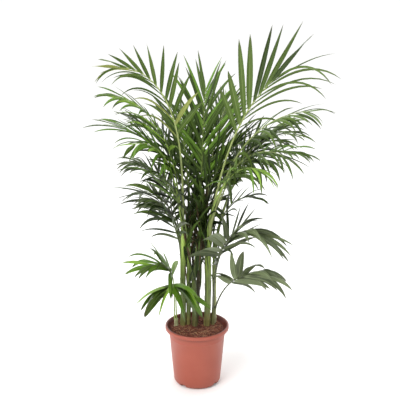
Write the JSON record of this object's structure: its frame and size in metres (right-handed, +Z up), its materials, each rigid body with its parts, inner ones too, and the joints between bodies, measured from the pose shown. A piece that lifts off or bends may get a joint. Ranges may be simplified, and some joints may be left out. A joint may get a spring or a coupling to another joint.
{
  "type": "potted cat palm",
  "caption": "Clumping feather palm in a round tapered nursery pot: slender sheathed stems in soil, and arching pinnate fronds that spread all round.",
  "frame": {"origin": "middle of the pot's flat underside, on the surface that the pot stands on", "axes": "+Z up, +X to the plant's right and -Y to its front"},
  "size_m": [0.8517, 0.7199, 1.3556],
  "materials": {
    "pot_plastic": "terracotta-coloured moulded plastic, satin",
    "soil_mix": "coarse moist peat and coir mix, matte",
    "stem_sheath": "smooth green leaf sheaths with paler, browner feet",
    "frond_leaf": "deep green leaflets with a soft waxy sheen on green stalks"
  },
  "bodies": {
    "root": {"pot": "pot_plastic", "soil": "soil_mix", "stem_a": "stem_sheath", "stem_b": "stem_sheath", "stem_c": "stem_sheath", "stem_d": "stem_sheath", "stem_e": "stem_sheath", "stem_f": "stem_sheath", "stem_g": "stem_sheath", "stem_h": "stem_sheath", "stem_i": "stem_sheath", "stem_j": "stem_sheath", "frond_01": "frond_leaf", "frond_02": "frond_leaf", "frond_03": "frond_leaf", "frond_04": "frond_leaf", "frond_05": "frond_leaf", "frond_06": "frond_leaf", "frond_07": "frond_leaf", "frond_08": "frond_leaf", "frond_09": "frond_leaf", "frond_10": "frond_leaf", "frond_11": "frond_leaf", "frond_12": "frond_leaf", "frond_13": "frond_leaf", "frond_14": "frond_leaf", "frond_15": "frond_leaf", "frond_16": "frond_leaf", "frond_17": "frond_leaf", "frond_18": "frond_leaf", "frond_19": "frond_leaf", "frond_20": "frond_leaf", "frond_21": "frond_leaf", "frond_22": "frond_leaf", "frond_23": "frond_leaf", "frond_24": "frond_leaf", "frond_25": "frond_leaf", "frond_26": "frond_leaf", "frond_27": "frond_leaf", "frond_28": "frond_leaf", "frond_29": "frond_leaf", "frond_30": "frond_leaf", "frond_31": "frond_leaf", "frond_32": "frond_leaf", "frond_33": "frond_leaf", "frond_34": "frond_leaf", "frond_35": "frond_leaf", "frond_36": "frond_leaf", "frond_37": "frond_leaf"}
  },
  "joints": []
}
